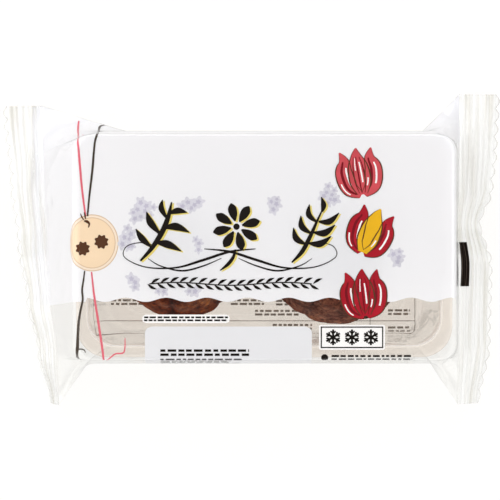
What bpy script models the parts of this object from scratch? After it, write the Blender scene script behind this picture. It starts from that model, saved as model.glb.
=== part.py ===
"""A shut flow-wrapped pack of two small cakes in a tray, as one closed solid.

The film is one tube. Over the tray it follows a section that is wide at the rim and narrower at
the base. Past the tray's ends it closes, top sheet to bottom sheet, in a crimped band with a
zigzag cut. The two sheets meet along a fold on each side, and a fin seam runs under the base.
X is the pack's length, Y its width, Z is up, and the pack lies on Z = 0. The origin is under the
middle of its outline. Sizes are in metres.
"""

import math

import bmesh
import bpy
from mathutils import Vector

# The tray that the film is drawn over
RIM_LENGTH = 0.135
RIM_WIDTH = 0.080
RIM_CORNER = 0.011
BASE_LENGTH = 0.119
BASE_WIDTH = 0.064
BASE_CORNER = 0.009
TRAY_HEIGHT = 0.0435
TRAY_X = 0.0047  # the tray has slid towards the right seal
TRAY_Y = 0.0010

# The film over the two cakes' crowns
CROWN_LIFT = 0.0015
CAKE_SPACING = 0.058

# The end seals
SEAL_DEPTH = 0.0148  # from the inner edge of the crimp to the tips of the cut
SEAL_THICKNESS = 0.0008
CRIMPS = 6
CRIMP_PLAIN = 0.0012  # the flat margin on each side of the crimps
CRIMP_RISE = 0.0004
TOOTH_DEPTH = 0.0013
TOOTH_COLUMNS = 3  # one notch in every third column of points

# The fin seam under the base
FIN_FROM_Y = -0.0010
FIN_WIDTH = 0.0100
FIN_THICKNESS = 0.0004
FIN_CHANNEL = 0.0006  # how far the base film is lifted beside the fin
FIN_CHANNEL_WIDTH = 0.0200

# Columns of points from the front fold to the back fold, and rows along the pack
WALL_TOP_COLUMNS = 10
TOP_COLUMNS = 46
COLUMNS = TOP_COLUMNS + 2 * WALL_TOP_COLUMNS
WALL_BASE_COLUMNS = 14
BODY_ROWS = 7
SLOPE_ROWS = 4

# How far from the tray's middle the side folds leave its walls: (front, back)
LEAVE_LEFT = (0.0615, 0.0420)
LEAVE_RIGHT = (0.0580, 0.0545)

# Each seal, from its front end (-1) to its back end (1):
# (place along the seal, X and Z of the crimp's inner edge, droop of the band in degrees)
LEFT_SEAL = (
    (-1.00, -0.0696, 0.0175, 74),
    (-0.65, -0.0700, 0.0210, 58),
    (-0.30, -0.0721, 0.0232, 50),
    (0.10, -0.0731, 0.0240, 38),
    (0.50, -0.0745, 0.0225, 30),
    (1.00, -0.0756, 0.0185, 16),
)
RIGHT_SEAL = (
    (-1.00, 0.0746, 0.0180, 52),
    (-0.60, 0.0747, 0.0215, 34),
    (-0.22, 0.0748, 0.0232, 31),
    (0.15, 0.0743, 0.0222, 52),
    (0.40, 0.0748, 0.0228, 28),
    (0.65, 0.0749, 0.0232, 18),
    (1.00, 0.0751, 0.0205, 6),
)
# The front and back ends of each seal. Both bands bow, so they are shorter than the flat film.
LEFT_SEAL_Y = (-0.0562, 0.0522)
RIGHT_SEAL_Y = (-0.0559, 0.0562)

WALL_LENGTH = math.hypot(TRAY_HEIGHT, (RIM_WIDTH - BASE_WIDTH) / 2)
HALF_GIRTH = (RIM_WIDTH + BASE_WIDTH) / 2 + WALL_LENGTH
FOLD_SHARE = (HALF_GIRTH - RIM_WIDTH) / 2 / WALL_LENGTH  # of the wall, down from the rim


def blend(a, b, share):
    """The value that lies this share of the way from a to b."""
    return a + (b - a) * share


def smooth(share):
    """A share from 0 to 1 that starts and ends level."""
    share = min(max(share, 0.0), 1.0)
    return share * share * (3.0 - 2.0 * share)


def triangle_wave(turns):
    """A zigzag from -1 to 1 that starts at 0 and repeats each turn."""
    return 1.0 - 4.0 * abs((turns + 0.25) % 1.0 - 0.5)


def corner_inset(y, width, radius):
    """How far a rounded rectangle's end lies inside its full length at this Y."""
    past = max(0.0, abs(y) - (width / 2 - radius))
    return radius - math.sqrt(max(0.0, radius * radius - past * past))


def seal_at(seal, column):
    """The crimp's inner edge and the band's droop, where this column of points meets the seal."""
    stations, (front, back) = seal
    t = 2.0 * column / COLUMNS - 1.0
    for low, high in zip(stations, stations[1:]):
        if t <= high[0]:
            break
    share = smooth((t - low[0]) / (high[0] - low[0]))
    x, z, droop = (blend(a, b, share) for a, b in zip(low[1:], high[1:]))
    return Vector((x, blend(front, back, column / COLUMNS), z)), math.radians(droop)


def section(column, is_top):
    """Y and Z of the tube over the tray, and how far the point is round from the fold to the edge.

    The last number is 0 on the fold and 1 on the rim or the base.
    """
    wall_columns = WALL_TOP_COLUMNS if is_top else WALL_BASE_COLUMNS
    flat_columns = COLUMNS - 2 * wall_columns
    from_edge = min(column, COLUMNS - column)
    side = -1.0 if column < COLUMNS / 2 else 1.0
    fold_y = blend(RIM_WIDTH, BASE_WIDTH, FOLD_SHARE) / 2
    fold_z = blend(TRAY_HEIGHT, 0.0, FOLD_SHARE)
    edge_y = (RIM_WIDTH if is_top else BASE_WIDTH) / 2
    edge_z = TRAY_HEIGHT if is_top else 0.0
    if from_edge <= wall_columns:
        climbed = from_edge / wall_columns
        return side * blend(fold_y, edge_y, climbed), blend(fold_z, edge_z, climbed), climbed
    across = (column - wall_columns) / flat_columns
    return blend(-edge_y, edge_y, across), edge_z, 1.0


def leave_x(column, is_top, leaves):
    """How far from the tray's middle the film leaves the tray in this column."""
    length = RIM_LENGTH if is_top else BASE_LENGTH
    width = RIM_WIDTH if is_top else BASE_WIDTH
    radius = RIM_CORNER if is_top else BASE_CORNER
    y, _, climbed = section(column, is_top)
    edge = length / 2 - corner_inset(y if climbed == 1.0 else width / 2, width, radius)
    fold = leaves[0] if column < COLUMNS / 2 else leaves[1]
    return blend(fold, edge, smooth(climbed))


def fin_depth(y):
    """How far the fin seam stands out of the bottom sheet at this Y."""
    return FIN_THICKNESS if FIN_FROM_Y <= y <= FIN_FROM_Y + FIN_WIDTH else 0.0


def body_point(column, is_top, share):
    """A point of the tube over the tray, from the left end (0) to the right end (1)."""
    y, z, climbed = section(column, is_top)
    left = -leave_x(column, is_top, LEAVE_LEFT)
    right = leave_x(column, is_top, LEAVE_RIGHT)
    x = blend(left, right, share)
    if is_top and climbed == 1.0:
        over_cakes = 0.8 - 0.2 * math.cos(2 * math.pi * x / CAKE_SPACING)
        from_ends = math.sqrt(math.sin(math.pi * share))
        z += CROWN_LIFT * math.cos(math.pi * y / RIM_WIDTH) * over_cakes * from_ends
    if not is_top:
        z += FIN_CHANNEL * (1.0 - smooth((abs(y) - FIN_WIDTH) / (FIN_CHANNEL_WIDTH - FIN_WIDTH)))
        z -= fin_depth(y)
    return Vector((x + TRAY_X, y + TRAY_Y, z))


def tooth(column):
    """How far the zigzag cut is drawn in at this column: full in a notch, none on a tooth."""
    return 0.0 if column % TOOTH_COLUMNS else TOOTH_DEPTH


def band_point(column, is_top, depth, seal, outward):
    """A point of the crimped band, this far out from the crimp's inner edge."""
    inner, droop = seal_at(seal, column)
    out = Vector((outward * math.cos(droop), 0.0, -math.sin(droop)))
    normal = Vector((outward * math.sin(droop), 0.0, math.cos(droop)))
    crimped = (depth - CRIMP_PLAIN) / (SEAL_DEPTH - 2 * CRIMP_PLAIN)
    rise = CRIMP_RISE * triangle_wave(crimped * CRIMPS) if 0.0 < crimped < 1.0 else 0.0
    sheet = 0.5 * SEAL_THICKNESS if is_top else -0.5 * SEAL_THICKNESS - fin_depth(inner.y)
    reach = depth - tooth(column) if depth == SEAL_DEPTH else depth
    return inner + out * reach + normal * (rise + sheet)


def slope_point(column, is_top, share, seal, outward):
    """A point of the film between the tray's end (0) and the crimp's inner edge (1)."""
    start = body_point(column, is_top, 0.0 if outward < 0 else 1.0)
    end = band_point(column, is_top, 0.0, seal, outward)
    return start.lerp(end, share)


def seal_depths():
    """The depths of the rows across the band: its plain margins, and each crimp's top and foot."""
    pitch = (SEAL_DEPTH - 2 * CRIMP_PLAIN) / CRIMPS
    turns = [CRIMP_PLAIN + pitch * (n / 2 + 0.25) for n in range(2 * CRIMPS)]
    return [0.0, *turns, SEAL_DEPTH]


def ring_at(place):
    """One closed ring of points: the top sheet from front to back, then the bottom sheet back."""
    top = [place(column, True) for column in range(COLUMNS + 1)]
    bottom = [place(column, False) for column in range(COLUMNS, -1, -1)]
    return top + bottom


def end_rings(seal, outward):
    """The rings from the tray's end out to the cut edge of one seal."""
    slope = [
        ring_at(lambda column, is_top: slope_point(column, is_top, row / SLOPE_ROWS, seal, outward))
        for row in range(1, SLOPE_ROWS)
    ]
    band = [
        ring_at(lambda column, is_top: band_point(column, is_top, depth, seal, outward))
        for depth in seal_depths()
    ]
    return slope + band


def pack_rings():
    """All rings of the pack, from the left cut edge to the right one."""
    left = end_rings((LEFT_SEAL, LEFT_SEAL_Y), -1)
    body = [
        ring_at(lambda column, is_top: body_point(column, is_top, row / BODY_ROWS))
        for row in range(BODY_ROWS + 1)
    ]
    right = end_rings((RIGHT_SEAL, RIGHT_SEAL_Y), 1)
    return left[::-1] + body + right


def cap(bm, ring):
    """Closes a cut edge with a strip of faces between its top and its bottom sheet."""
    count = len(ring)
    for n in range(COLUMNS):
        bm.faces.new((ring[n], ring[n + 1], ring[count - 2 - n], ring[count - 1 - n]))


def skin(rings):
    """A bmesh with quads between each ring and the next, and both cut edges closed."""
    bm = bmesh.new()
    rows = [[bm.verts.new(point) for point in ring] for ring in rings]
    for row, following in zip(rows, rows[1:]):
        for n in range(len(row)):
            m = (n + 1) % len(row)
            bm.faces.new((row[n], row[m], following[m], following[n]))
    cap(bm, rows[0])
    cap(bm, rows[-1])
    bmesh.ops.recalc_face_normals(bm, faces=bm.faces)
    return bm


def film_material():
    """White-printed polypropylene film, glossy."""
    material = bpy.data.materials.new("white_printed_film")
    material.use_nodes = True
    shader = material.node_tree.nodes["Principled BSDF"]
    shader.inputs["Base Color"].default_value = (0.87, 0.88, 0.90, 1.0)
    shader.inputs["Roughness"].default_value = 0.32
    shader.inputs["Metallic"].default_value = 0.0
    return material


def make_pack():
    """The pack as one object, smooth over the film and sharp at its creases."""
    bm = skin(pack_rings())
    mesh = bpy.data.meshes.new("pack")
    bm.to_mesh(mesh)
    bm.free()
    mesh.shade_smooth()
    mesh.set_sharp_from_angle(angle=math.radians(35))
    mesh.materials.append(film_material())
    pack = bpy.data.objects.new("pack", mesh)
    bpy.context.scene.collection.objects.link(pack)
    return pack


for old in list(bpy.data.objects):
    bpy.data.objects.remove(old)
make_pack()
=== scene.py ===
import random
from contextlib import contextmanager
from math import atan2, copysign, cos, hypot, pi, radians, sin, sqrt, tau

import bmesh
import bpy
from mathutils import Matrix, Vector, noise


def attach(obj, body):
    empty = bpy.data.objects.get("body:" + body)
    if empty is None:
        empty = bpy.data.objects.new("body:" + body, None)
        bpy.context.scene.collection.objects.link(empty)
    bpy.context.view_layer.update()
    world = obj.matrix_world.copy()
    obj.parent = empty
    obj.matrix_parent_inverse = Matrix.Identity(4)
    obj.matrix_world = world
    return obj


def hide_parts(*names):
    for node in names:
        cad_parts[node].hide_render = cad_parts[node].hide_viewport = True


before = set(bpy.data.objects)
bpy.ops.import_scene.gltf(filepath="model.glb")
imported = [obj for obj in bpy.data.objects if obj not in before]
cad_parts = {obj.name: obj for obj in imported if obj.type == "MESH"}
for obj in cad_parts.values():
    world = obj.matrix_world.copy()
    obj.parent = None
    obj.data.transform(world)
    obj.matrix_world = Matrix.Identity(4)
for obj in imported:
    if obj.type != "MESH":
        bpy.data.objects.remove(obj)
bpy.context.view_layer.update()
MM = 0.001

# The tray. A thin sheet of clear PET, warmed and drawn by vacuum into a mould: a flat flange, a
# rounded mouth, walls that taper so that trays nest, and a floor with a raised middle. The film
# holds it, and it has slid towards the right seal.
TRAY_X = 4.7 * MM
TRAY_Y = 1 * MM
TRAY_HEIGHT = 43.5 * MM
RIM_LENGTH = 135 * MM
RIM_WIDTH = 80 * MM
RIM_CORNER = 11 * MM
# From the lip to the floor: how far each ring of the sheet lies inside the film's rim and how high,
# in mm, and how much milky white the bend there is given: a painted highlight, with a little real whitening
TRAY_PROFILE = (
    (1.2, 40.9, 0.1), (1.1, 41.8, 0.3), (1.5, 42.45, 0.1), (2.4, 42.6, 0.0), (4.2, 42.6, 0.0),
    (4.9, 42.5, 0.2), (5.25, 42.1, 0.9), (5.5, 41.5, 0.2), (5.9, 40.4, 0.0), (7.8, 24.0, 0.0),
    (9.4, 9.0, 0.0), (10.0, 6.0, 0.0), (11.4, 3.6, 0.05), (13.6, 2.2, 0.0), (15.6, 1.7, 0.0),
    (16.4, 1.75, 0.1), (17.6, 2.2, 0.05), (19.0, 2.3, 0.0),
)
TWO_FACES_MIRROR = 0.075  # the share of light that a thin plastic sheet sends back, seen straight on


def linear(colour):
    """An sRGB hex colour as linear red, green, blue and alpha, for a shader's socket."""
    parts = [int(colour[n:n + 2], 16) / 255 for n in (1, 3, 5)]
    return *(c / 12.92 if c < 0.04045 else ((c + 0.055) / 1.055) ** 2.4 for c in parts), 1.0


def new_material(name):
    """A node material with no nodes yet."""
    material = bpy.data.materials.new(name)
    material.use_nodes = True
    material.node_tree.nodes.clear()
    return material


def add_node(material, kind, **values):
    """Adds a shader node. A name in small letters is one of its settings, and any other is an input,
    or _N for its place: it takes a value, a socket to link from, or a node for its first output."""
    node = material.node_tree.nodes.new("ShaderNode" + kind)
    for name, value in values.items():
        if name[0].islower():
            setattr(node, name, value)
            continue
        socket = node.inputs[int(name[1:])] if name[0] == "_" else node.inputs[name.replace("_", " ")]
        if isinstance(value, bpy.types.Node):
            value = value.outputs[0]
        if isinstance(value, bpy.types.NodeSocket):
            material.node_tree.links.new(value, socket)
        else:
            socket.default_value = value
    return node


def clear_plastic(material, tint, haze, milk, roughness, ripple):
    """A thin clear sheet. Both its faces mirror the studio, and more so where it is seen aslant."""
    through = add_node(material, "BsdfTransparent", Color=linear(tint))
    clouded = add_node(material, "BsdfDiffuse", Color=milk)
    body = add_node(material, "MixShader", _0=haze, _1=through, _2=clouded)
    # No sheet is quite flat: it ripples by this much over about 12 mm
    place = add_node(material, "TexCoord").outputs["Object"]
    waves = add_node(material, "TexNoise", Vector=place, Scale=80.0)
    uneven = add_node(material, "Bump", Distance=ripple, Height=waves)
    mirror = add_node(material, "BsdfGlossy", Roughness=roughness, Normal=uneven)
    slant = add_node(material, "LayerWeight", Blend=0.5, Normal=uneven).outputs["Facing"]
    rise = add_node(material, "Math", operation="POWER", _0=slant, _1=5.0)
    share = add_node(material, "Math", operation="MULTIPLY_ADD",
                     _0=rise, _1=1.0 - TWO_FACES_MIRROR, _2=TWO_FACES_MIRROR)
    sheet = add_node(material, "MixShader", _0=share, _1=body, _2=mirror)
    add_node(material, "OutputMaterial", Surface=sheet)
    return material


def start_piece(name, material):
    """A new empty mesh object, open in edit mode with nothing selected."""
    bpy.ops.object.select_all(action="DESELECT")
    piece = bpy.data.objects.new(name, bpy.data.meshes.new(name))
    piece.data.materials.append(material)
    bpy.context.scene.collection.objects.link(piece)
    bpy.context.view_layer.objects.active = piece
    piece.select_set(True)
    bpy.ops.object.mode_set(mode="EDIT")
    return piece


def finish_piece(piece, smooth_below=180):
    """Closes edit mode, smooths the faces, and lets the piece ride on the pack."""
    bpy.ops.object.mode_set(mode="OBJECT")
    for modifier in list(piece.modifiers):
        bpy.ops.object.modifier_apply(modifier=modifier.name)
    bpy.ops.object.shade_smooth_by_angle(angle=radians(smooth_below))
    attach(piece, "root")


def drawn_sheet():
    """Clear drawn sheet, faintly warm; its bends are painted milky white as a highlight, with some real
    whitening.
    """
    material = new_material("vacuum formed clear PET")
    bend = add_node(material, "Attribute", attribute_name="bend").outputs["Fac"]
    # Painted highlight: along the bends the sheet turns milkier and whiter, for the light its tight bends
    # catch
    haze = add_node(material, "Math", operation="MULTIPLY_ADD", _0=bend, _1=0.45, _2=0.08)
    milk = add_node(material, "Mix", data_type="RGBA", _0=bend, _6=linear("#f8e4d5"), _7=linear("#ffffff"))
    return clear_plastic(material, "#fcf5ee", haze, milk.outputs[2], 0.06, 0.5 * MM)


def mark_ring(piece, name, value):
    """Notes a number on the selected points, as an attribute of this name."""
    mesh = bmesh.from_edit_mesh(piece.data)
    layer = mesh.verts.layers.float.get(name) or mesh.verts.layers.float.new(name)
    for vert in mesh.verts:
        if vert.select:
            vert[layer] = value
    bmesh.update_edit_mesh(piece.data)


tray = start_piece("tray", drawn_sheet())
bpy.ops.mesh.primitive_plane_add(size=1)
first_inset, first_height = (value * MM for value in TRAY_PROFILE[0][:2])
half_length = RIM_LENGTH / 2 - first_inset
half_width = RIM_WIDTH / 2 - first_inset
bpy.ops.transform.resize(value=(2 * half_length, 2 * half_width, 1), center_override=(0, 0, 0))
bpy.ops.mesh.bevel(affect="VERTICES", offset=RIM_CORNER, segments=9, profile=0.5)
bpy.ops.transform.translate(value=(0, 0, first_height))
mark_ring(tray, "bend", TRAY_PROFILE[0][2])
height = first_height
for inset, level, bend_highlight_share in TRAY_PROFILE[1:]:
    bpy.ops.mesh.extrude_region_move()
    next_length = RIM_LENGTH / 2 - inset * MM
    next_width = RIM_WIDTH / 2 - inset * MM
    shrink = (next_length / half_length, next_width / half_width, 1)
    bpy.ops.transform.resize(value=shrink, center_override=(0, 0, height))
    bpy.ops.transform.translate(value=(0, 0, level * MM - height))
    mark_ring(tray, "bend", bend_highlight_share)
    half_length, half_width, height = next_length, next_width, level * MM
# The first extrusion leaves the plane it started from across the mouth
mesh = bmesh.from_edit_mesh(tray.data)
across_mouth = [
    face for face in mesh.faces if all(abs(vert.co.z - first_height) < 0.01 * MM for vert in face.verts)
]
bmesh.ops.delete(mesh, geom=across_mouth, context="FACES_ONLY")
bmesh.update_edit_mesh(tray.data)
bpy.ops.mesh.select_all(action="SELECT")
bpy.ops.transform.translate(value=(TRAY_X, TRAY_Y, 0))
bpy.ops.mesh.normals_make_consistent(inside=False)
rounding = tray.modifiers.new("rounding", "SUBSURF")
rounding.levels = rounding.render_levels = 1
finish_piece(tray)
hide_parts("pack")

# The cakes. A thin egg batter baked in a fluted mould brushed with beeswax, until the sugar in its
# crust is nearly black. The crust shines where the wax lay and is dull and pitted elsewhere. Each
# stands in the tray on its wide end, and no two rise alike.
CAKE_FLUTES = 8
CAKE_POINTS_ROUND = 240
CAKE_FLOOR = 2.4 * MM
LUMP_SPACING = 11 * MM
LUMP_HEIGHT = 0.9 * MM
PIT_SPACING = 2.2 * MM
PIT_DEPTH = 0.22 * MM
CAKES = (
    # name, place along and across, radius of the wide end, height, turn of the flutes, seed, and how
    # full the colour of its crust is
    ("cake_right", (32.1 * MM, -0.8 * MM), 26.9 * MM, 40.2 * MM, 0.10, 3, 0.92),
    ("cake_left", (-26.1 * MM, -1.2 * MM), 24.3 * MM, 39.4 * MM, 0.51, 8, 1.18),
)
# Share of the radius, share of the height, and depth of the flutes there in mm
CAKE_PROFILE = (
    (0.90, 0.000, 0.3), (0.965, 0.012, 0.7), (0.995, 0.040, 1.1), (1.000, 0.080, 1.3),
    (0.990, 0.130, 1.5), (0.965, 0.210, 1.8), (0.935, 0.300, 2.1), (0.905, 0.400, 2.3),
    (0.875, 0.500, 2.4), (0.845, 0.600, 2.5), (0.815, 0.700, 2.6), (0.785, 0.790, 2.8),
    (0.750, 0.870, 3.0), (0.700, 0.930, 3.1), (0.630, 0.975, 2.9), (0.540, 1.000, 2.4),
    (0.450, 0.992, 0.81), (0.370, 0.965, 0.666), (0.290, 0.925, 0.522), (0.200, 0.890, 0.36),
    (0.100, 0.870, 0.0),
)


def caramel_crust(name, saturation):
    """Dark caramelised crust, speckled: chestnut on a flute's shoulders, made near black in its groove by
    painted shade.
    """
    material = new_material(name)
    place = add_node(material, "TexCoord").outputs["Object"]
    # Clouds of about 10 mm, drawn up the side as the batter rose, and specks of about 1.5 mm
    drawn_up = add_node(material, "Mapping", Vector=place, Scale=(1.0, 1.0, 0.45))
    clouds = add_node(material, "TexNoise", Vector=drawn_up, Scale=100.0, Detail=8.0, Roughness=0.75)
    grain = add_node(material, "TexNoise", Vector=drawn_up, Scale=700.0, Detail=3.0, Roughness=0.7)
    groove = add_node(material, "Attribute", attribute_name="groove").outputs["Fac"]
    # Painted shade: the crust is darkened the further a point lies into a groove
    bake_and_groove_shade = add_node(material, "Math", operation="MULTIPLY_ADD", _0=groove, _1=-0.20, _2=clouds)
    tone = add_node(material, "ValToRGB", _0=bake_and_groove_shade)
    stops = tone.color_ramp.elements
    stops[0].position, stops[0].color = 0.24, linear("#33150d")
    # The lightest clouds run to amber: a painted glint, for the crust's wet shine
    stops[1].position, stops[1].color = 0.65, linear("#d9863e")
    for position, colour in ((0.38, "#6b3120"), (0.52, "#9c5634")):
        stops.new(position).color = linear(colour)
    speck = add_node(material, "ValToRGB", _0=grain)
    stops = speck.color_ramp.elements
    stops[0].position, stops[0].color = 0.36, linear("#7d716b")
    stops[1].position, stops[1].color = 0.64, linear("#ffffff")
    speckled = add_node(material, "Mix", data_type="RGBA", blend_type="MULTIPLY", _0=0.9, _6=tone, _7=speck)
    colour = add_node(material, "HueSaturation", Saturation=saturation, Color=speckled.outputs[2])
    wax = add_node(material, "MapRange", _0=clouds, _1=0.40, _2=0.62, _3=0.75, _4=0.45)
    relief = add_node(material, "Bump", Strength=0.55, Distance=0.0004, Height=grain)
    crust = add_node(material, "BsdfPrincipled", Base_Color=colour, Roughness=wax,
                     Normal=relief, Specular_IOR_Level=0.03)
    add_node(material, "OutputMaterial", Surface=crust)
    return material


def smooth(share):
    """A share from 0 to 1 that starts and ends level."""
    share = min(max(share, 0.0), 1.0)
    return share * share * (3.0 - 2.0 * share)


def flute(angle):
    """From 0 on the shoulders of a flute to 1 in the narrow groove between two, over a flat back."""
    back = abs(cos(angle * CAKE_FLUTES / 2))
    return 1.0 - back ** 0.42 + 0.30 * smooth((back - 0.5) * 2)


for name, (cake_x, cake_y), radius, tall, turn, seed, saturation in CAKES:
    cake = start_piece(name, caramel_crust("caramelised beeswax crust of " + name, saturation))
    bpy.ops.mesh.primitive_circle_add(vertices=CAKE_POINTS_ROUND, radius=radius, fill_type="NOTHING")
    bpy.ops.transform.resize(value=(CAKE_PROFILE[0][0],) * 3, center_override=(0, 0, 0))
    ring = CAKE_PROFILE[0]
    mark_ring(cake, "depth", ring[2])
    for following in CAKE_PROFILE[1:]:
        bpy.ops.mesh.extrude_region_move(
            TRANSFORM_OT_translate={"value": (0, 0, (following[1] - ring[1]) * tall)}
        )
        share = following[0] / ring[0]
        bpy.ops.transform.resize(value=(share, share, 1), center_override=(0, 0, 0))
        mark_ring(cake, "depth", following[2])
        ring = following
    bpy.ops.mesh.merge(type="CENTER")
    bpy.ops.mesh.select_all(action="SELECT")
    mesh = bmesh.from_edit_mesh(cake.data)
    underside = [edge for edge in mesh.edges if edge.is_boundary]
    bmesh.ops.holes_fill(mesh, edges=underside)
    in_groove = mesh.verts.layers.float.new("groove")
    depth = mesh.verts.layers.float["depth"]
    for vert in mesh.verts:
        vert[in_groove] = flute(atan2(vert.co.y, vert.co.x) + turn)
        groove = vert[depth] * MM * vert[in_groove]
        lump = noise.noise(vert.co / LUMP_SPACING + Vector((seed, 0, 0))) * LUMP_HEIGHT
        pit = noise.noise(vert.co / PIT_SPACING + Vector((0, seed, 0))) * PIT_DEPTH
        away = vert.co.xy.length
        if away > 1 * MM:
            vert.co.xy *= 1 + (lump + pit - groove) / away
        vert.co.z += (0.6 * lump + pit) * min(1, 4 * vert.co.z / tall)
    bmesh.update_edit_mesh(cake.data)
    bpy.ops.mesh.normals_make_consistent(inside=False)
    bpy.ops.transform.translate(value=(cake_x, cake_y, CAKE_FLOOR))
    softening = cake.modifiers.new("softening", "SUBSURF")
    softening.levels = softening.render_levels = 1
    softening.use_limit_surface = False
    finish_piece(cake)
    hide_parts("pack")

# The film. One web of clear polypropylene 0.04 mm thick, printed in reverse on its inner side. A
# machine folds it into a tube round the trays, seals its edges in a fin under the base, and crimps
# and cuts it between two packs. Every place on it is given flat, as on the roll: along the pack
# from the tray's middle, and across from the middle of the top, positive towards the back.
BASE_LENGTH = 119 * MM
BASE_WIDTH = 64 * MM
BASE_CORNER = 9 * MM
FILM_CORNER = 6.5 * MM  # the film spans the tray's own corners more squarely
CROWN_LIFT = 1.5 * MM
CAKE_SPACING = 58 * MM
EDGE_ROUNDING = 1.8 * MM
END_ROUNDING = 1.4 * MM
WALL_BULGE = 2.6 * MM
BULGE_FROM_RIM = 8 * MM  # how far down the wall the slack film reaches its bulge
BULGE_FROM_BASE = 22 * MM
PLEAT_WIDTH = 11 * MM
PLEAT_DEPTH = 0.55 * MM
WALL_LENGTH = hypot(TRAY_HEIGHT, (RIM_WIDTH - BASE_WIDTH) / 2)
HALF_GIRTH = (RIM_WIDTH + BASE_WIDTH) / 2 + WALL_LENGTH
FOLD = HALF_GIRTH / 2  # how far across the top sheet reaches, from its middle to the side fold
WALL_DROP = TRAY_HEIGHT / WALL_LENGTH
WALL_LEAN = (RIM_WIDTH - BASE_WIDTH) / 2 / WALL_LENGTH
SEAL_DEPTH = 14.8 * MM
SEAL_GAP = 0.15 * MM
CRIMPS = 6
CRIMP_PLAIN = 1.2 * MM
CRIMP_RISE = 0.28 * MM
TOOTH_PITCH = HALF_GIRTH / 22
TOOTH_DEPTH = 1.3 * MM
FIN_CHANNEL = 0.6 * MM
FIN_CHANNEL_FROM = 10 * MM
FIN_CHANNEL_TO = 20 * MM
# Where the side folds leave the tray's walls: (front, back)
LEAVE = {-1: (61.5 * MM, 42 * MM), 1: (58 * MM, 54.5 * MM)}
# Each seal, from its front end (-1) to its back end (1): (place along the seal, X and Z of the
# crimp's inner edge in mm, droop of the band in degrees)
SEALS = {
    -1: (
        (-1.00, -69.6, 17.5, 74), (-0.65, -70.0, 21.0, 58), (-0.30, -72.1, 23.2, 50),
        (0.10, -73.1, 24.0, 38), (0.50, -74.5, 22.5, 30), (1.00, -75.6, 18.5, 16),
    ),
    1: (
        (-1.00, 74.6, 18.0, 52), (-0.60, 74.7, 21.5, 34), (-0.10, 74.8, 23.0, 31),
        (0.17, 74.3, 22.2, 50), (0.40, 74.8, 22.8, 28), (0.65, 74.9, 23.2, 18),
        (1.00, 75.1, 20.5, 6),
    ),
}
SEAL_Y = {-1: (-56.2 * MM, 52.2 * MM), 1: (-55.9 * MM, 56.2 * MM)}


def blend(a, b, share):
    """The value that lies this share of the way from a to b."""
    return a + (b - a) * share


def past_corner(distance, width=EDGE_ROUNDING):
    """How far a point lies past a corner, with the turn spread softly over this width."""
    if abs(distance) < width / 2:
        return (distance + width / 2) ** 2 / (2 * width)
    return max(distance, 0.0)


def bulge(down_wall):
    """How far the slack film stands off the tray's tapered wall, this far down from the rim."""
    rise = smooth(down_wall / BULGE_FROM_RIM)
    return WALL_BULGE * rise * smooth((WALL_LENGTH - down_wall) / BULGE_FROM_BASE)


def corner_inset(y, width, radius):
    """How far a rounded rectangle's end lies inside its full length at this Y."""
    past = min(max(0.0, abs(y) - (width / 2 - radius)), radius)
    return radius - sqrt(radius * radius - past * past)


def sheet_and_side(across):
    """The place on the top or the bottom sheet, from its middle, for a place across the film."""
    if abs(across) <= FOLD:
        return across, True
    return copysign(2 * FOLD - abs(across), across), False


def leaving(s, is_top, side):
    """How far along the film it leaves the tray towards this end."""
    length, width, corner = (RIM_LENGTH, RIM_WIDTH, FILM_CORNER) if is_top else (
        BASE_LENGTH, BASE_WIDTH, BASE_CORNER)
    wall = FOLD - width / 2
    climbed = min((FOLD - abs(s)) / wall, 1.0)
    edge = length / 2 - corner_inset(min(abs(s), width / 2), width, corner)
    return blend(LEAVE[side][0 if s < 0 else 1], edge, smooth(climbed))


def body_point(along, s, is_top):
    """A point of the tube over the tray."""
    left, right = -leaving(s, is_top, -1), leaving(s, is_top, 1)
    if is_top:
        past = past_corner(abs(s) - RIM_WIDTH / 2)
        y = abs(s) - past * (1 + WALL_LEAN) + bulge(past)
        z = TRAY_HEIGHT - past * WALL_DROP
        if past < EDGE_ROUNDING:
            share = min(max((along - left) / (right - left), 0.0), 1.0)
            over_cakes = 0.8 - 0.2 * cos(2 * pi * along / CAKE_SPACING)
            crown = cos(pi * min(y, RIM_WIDTH / 2) / RIM_WIDTH)
            z += CROWN_LIFT * crown * over_cakes * sin(pi * share)
    else:
        past = past_corner(abs(s) - BASE_WIDTH / 2)
        y = abs(s) - past * (1 - WALL_LEAN) + bulge(WALL_LENGTH - past)
        z = past * WALL_DROP
        z += FIN_CHANNEL * (1.0 - smooth((abs(s) - FIN_CHANNEL_FROM) / (FIN_CHANNEL_TO - FIN_CHANNEL_FROM)))
    return Vector((along + TRAY_X, copysign(y, s) + TRAY_Y, z))


def crimp_edge(s, side):
    """The crimp's inner edge, and the band's droop, at this place across the sheet."""
    t = s / FOLD
    for low, high in zip(SEALS[side], SEALS[side][1:]):
        if t <= high[0]:
            break
    share = smooth((t - low[0]) / (high[0] - low[0]))
    x, z, droop = (blend(a, b, share) for a, b in zip(low[1:], high[1:]))
    y = blend(*SEAL_Y[side], (t + 1) / 2)
    return Vector((x * MM, y, z * MM)), radians(droop)


def band_point(depth, s, is_top, side):
    """A point of the crimped band, this far out from the crimp's inner edge."""
    inner, droop = crimp_edge(s, side)
    out = Vector((side * cos(droop), 0.0, -sin(droop)))
    normal = Vector((side * sin(droop), 0.0, cos(droop)))
    crimped = (depth - CRIMP_PLAIN) / (SEAL_DEPTH - 2 * CRIMP_PLAIN)
    rise = CRIMP_RISE * sin(2 * pi * crimped * CRIMPS) if 0.0 < crimped < 1.0 else 0.0
    return inner + out * depth + normal * (rise + (SEAL_GAP if is_top else -SEAL_GAP))


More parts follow.
